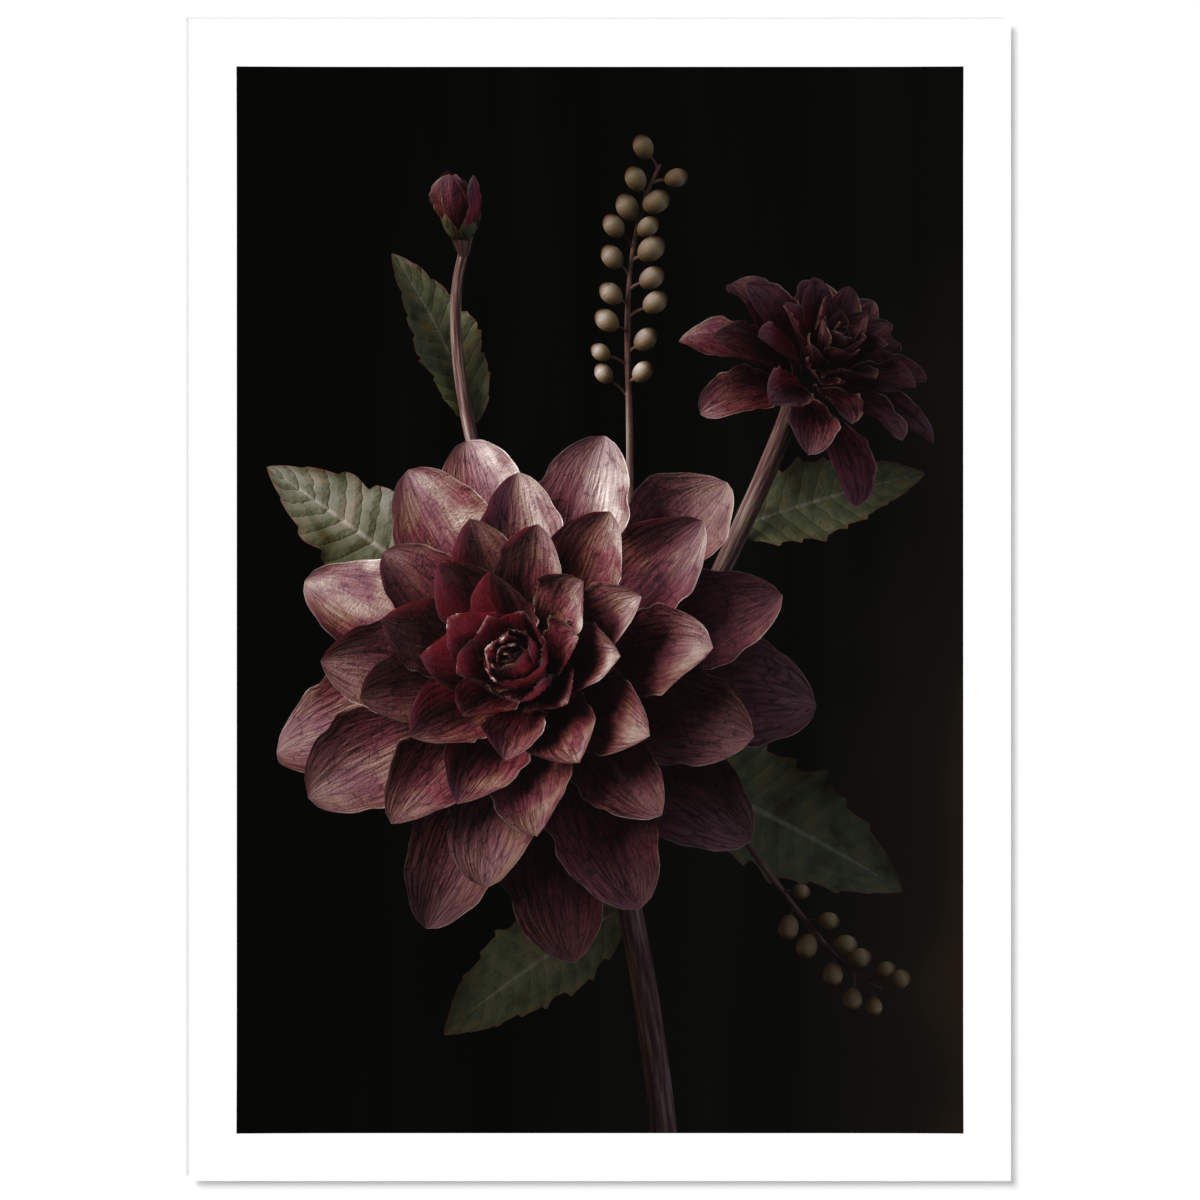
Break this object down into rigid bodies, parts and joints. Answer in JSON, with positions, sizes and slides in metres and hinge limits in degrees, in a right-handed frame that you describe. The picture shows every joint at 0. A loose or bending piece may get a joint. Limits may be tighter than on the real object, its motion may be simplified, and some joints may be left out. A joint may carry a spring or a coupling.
{
  "type": "unframed art print",
  "caption": "Flat paper sheet printed with a dark floral picture inside a white margin, to lay flat, pin up or put in a frame.",
  "frame": {"origin": "on the surface that the sheet lies on, under the middle of the sheet", "axes": "+X to the right of the picture, +Y to the top of the picture, +Z the way that the printed face looks"},
  "size_m": [0.297, 0.42, 0.0039],
  "materials": {
    "matte_paper": "white 250 g/m2 matte paper with a dark pigment print inside an even bare margin"
  },
  "bodies": {
    "root": {"paper_sheet": "matte_paper"}
  },
  "joints": []
}
